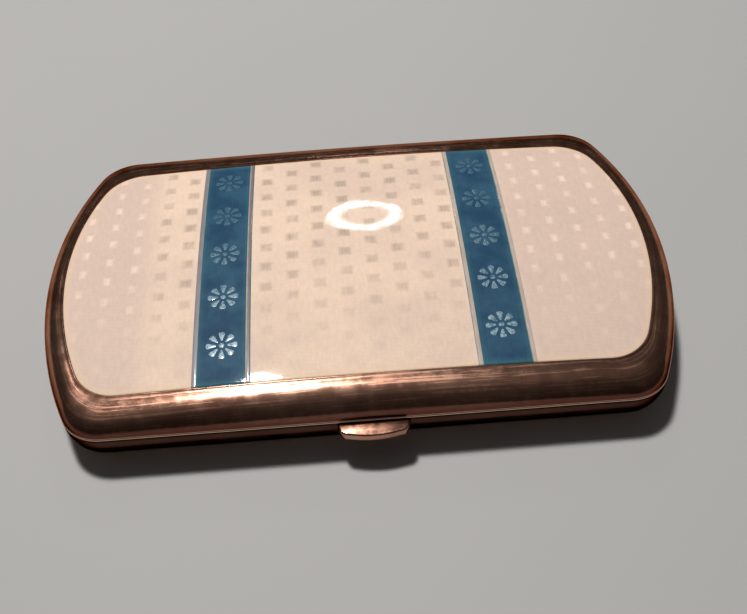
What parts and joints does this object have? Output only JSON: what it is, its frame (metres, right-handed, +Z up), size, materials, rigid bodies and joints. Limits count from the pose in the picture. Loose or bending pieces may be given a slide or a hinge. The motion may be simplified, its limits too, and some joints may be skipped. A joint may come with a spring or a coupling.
{
  "type": "pill box",
  "caption": "Slim hinged pill box with bowed ends, a gilt rim, a crowned enamelled lid with two blue bands, a push thumb-piece catch and a gilt tray.",
  "frame": {"origin": "centre of the flat bottom that the case rests on", "axes": "+X along the case's length, +Y towards the hinge at the back, +Z up through the lid; the thumb-piece faces -Y"},
  "size_m": [0.076, 0.048, 0.0089],
  "materials": {
    "rose_gold": "polished",
    "gilt": "satin gilt",
    "silver": "engine-turned, bright",
    "cream_enamel": "glossy",
    "blue_enamel": "glossy",
    "pale_line": "glossy",
    "pale_foil": "satin",
    "spring_steel": "brushed"
  },
  "bodies": {
    "base": {"base_knuckle_1": "rose_gold", "base_knuckle_2": "rose_gold", "base_knuckle_3": "rose_gold", "base_knuckle_4": "rose_gold", "base_shell": "rose_gold", "hinge_pin": "spring_steel", "inner_frame": "gilt", "pill_tray": "gilt", "spring_post_left": "gilt", "spring_post_right": "gilt"},
    "lid": {"enamel_centre": "cream_enamel", "enamel_left_band": "blue_enamel", "enamel_left_end": "cream_enamel", "enamel_right_band": "blue_enamel", "enamel_right_end": "cream_enamel", "guilloche_plate": "silver", "left_band_inner_line": "pale_line", "left_band_outer_line": "pale_line", "lid_catch": "gilt", "lid_frame": "rose_gold", "lid_knuckle_1": "rose_gold", "lid_knuckle_2": "rose_gold", "lid_knuckle_3": "rose_gold", "lid_liner": "gilt", "right_band_inner_line": "pale_line", "right_band_outer_line": "pale_line", "rosette_left_1": "pale_foil", "rosette_left_2": "pale_foil", "rosette_left_3": "pale_foil", "rosette_left_4": "pale_foil", "rosette_left_5": "pale_foil", "rosette_right_1": "pale_foil", "rosette_right_2": "pale_foil", "rosette_right_3": "pale_foil", "rosette_right_4": "pale_foil", "rosette_right_5": "pale_foil"},
    "latch": {"latch_hook": "gilt", "latch_spring": "spring_steel", "thumb_piece": "rose_gold"}
  },
  "joints": [
    {"name": "lid_hinge", "type": "hinge", "parent": "base", "child": "lid", "pos_m": [0, 0.02275, 0.0042], "axis": [-1, 0, 0], "range_deg": [0, 110]},
    {"name": "thumb_piece_push", "type": "slide", "parent": "base", "child": "latch", "axis": [0, 1, 0], "range_m": [0, 0.0005], "stiffness_N_per_m": 4000, "springref_m": -0.0003, "deforming": ["latch_spring"]}
  ]
}
